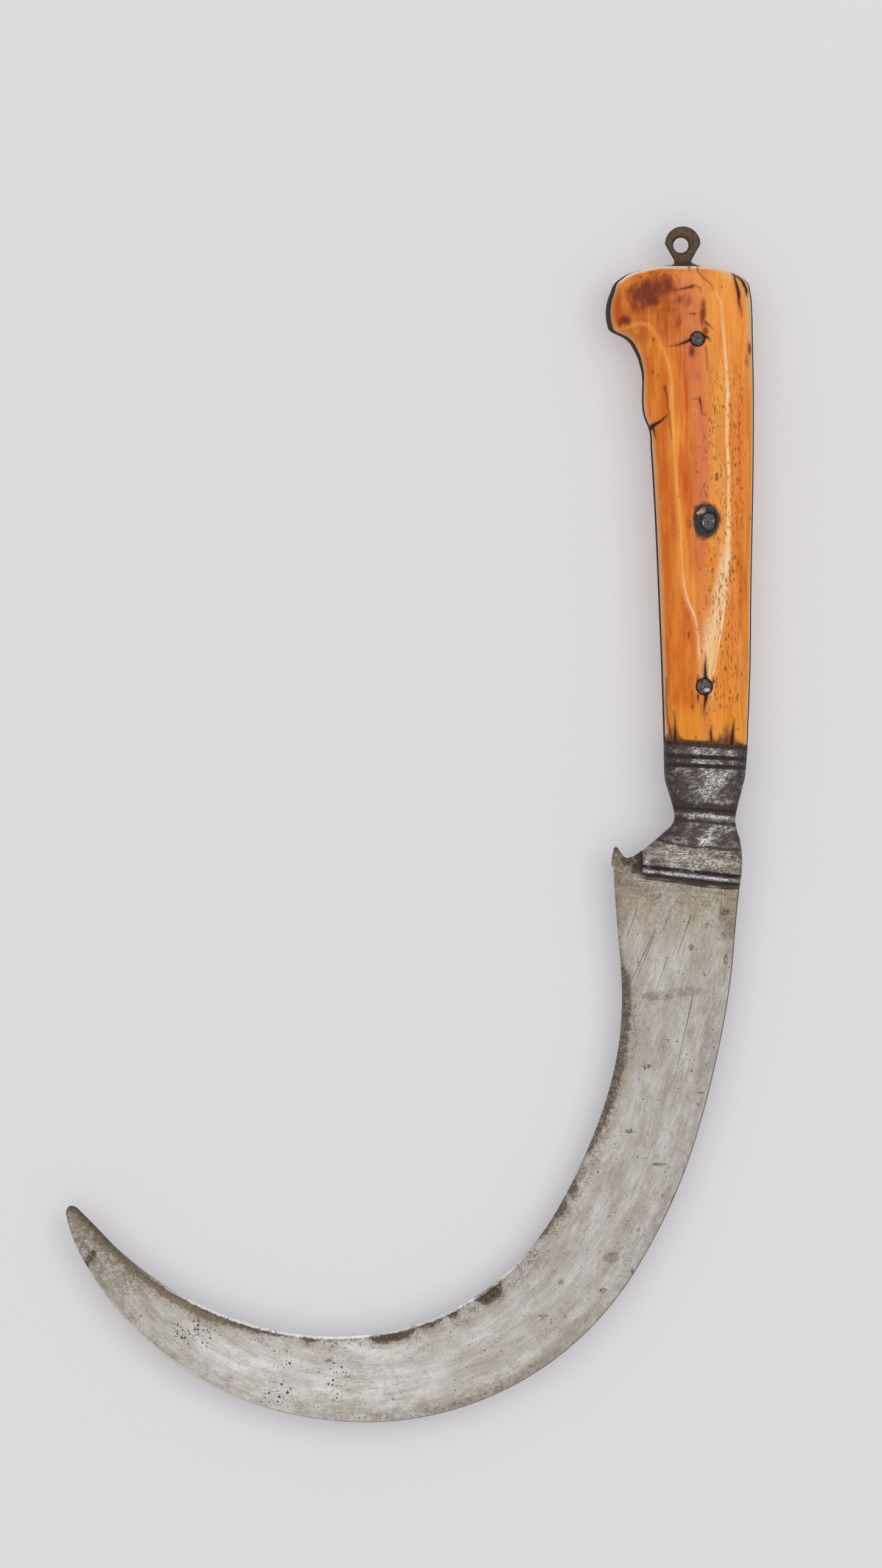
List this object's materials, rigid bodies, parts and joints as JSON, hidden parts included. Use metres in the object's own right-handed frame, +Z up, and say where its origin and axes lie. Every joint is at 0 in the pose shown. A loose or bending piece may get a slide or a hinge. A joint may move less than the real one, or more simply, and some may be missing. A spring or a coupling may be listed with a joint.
{
  "type": "curved knife",
  "caption": "Antique hooked knife with a sickle-shaped steel blade, forged waisted iron bolster, amber stained ivory grip scales with a beaked pommel, peened rivets and a hanging eye.",
  "frame": {"origin": "Under the middle of the knife's box, on the plane that the back scale's flat crown rests on.", "axes": "+Z up through the knife's thickness, +Y towards the pommel along the grip, +X towards the back of the grip and blade, away from the point."},
  "size_m": [0.1808, 0.3144, 0.0154],
  "materials": {
    "polished_steel": "old polish with fine grinding lines, pits and stain",
    "forged_iron": "file-finished, mottled dark patina worn bright on the crown",
    "stained_ivory": "polished layered ivory, stained amber, with cracks and dark specks",
    "black_lac": "dull resin bedding",
    "rivet_iron": "peened iron, dark with bright flecks",
    "tan_bone": "tan sliver, rubbed",
    "bronzed_iron": "dark brown patina, smooth from handling"
  },
  "bodies": {
    "root": {"blade": "polished_steel", "bolster_front": "forged_iron", "bolster_back": "forged_iron", "scale_front": "stained_ivory", "scale_back": "stained_ivory", "bedding_front": "black_lac", "bedding_back": "black_lac", "rivet_upper": "rivet_iron", "rivet_middle": "rivet_iron", "rivet_lower": "rivet_iron", "rivet_fill": "black_lac", "rivet_wedge": "tan_bone", "suspension_loop": "bronzed_iron"}
  },
  "joints": []
}
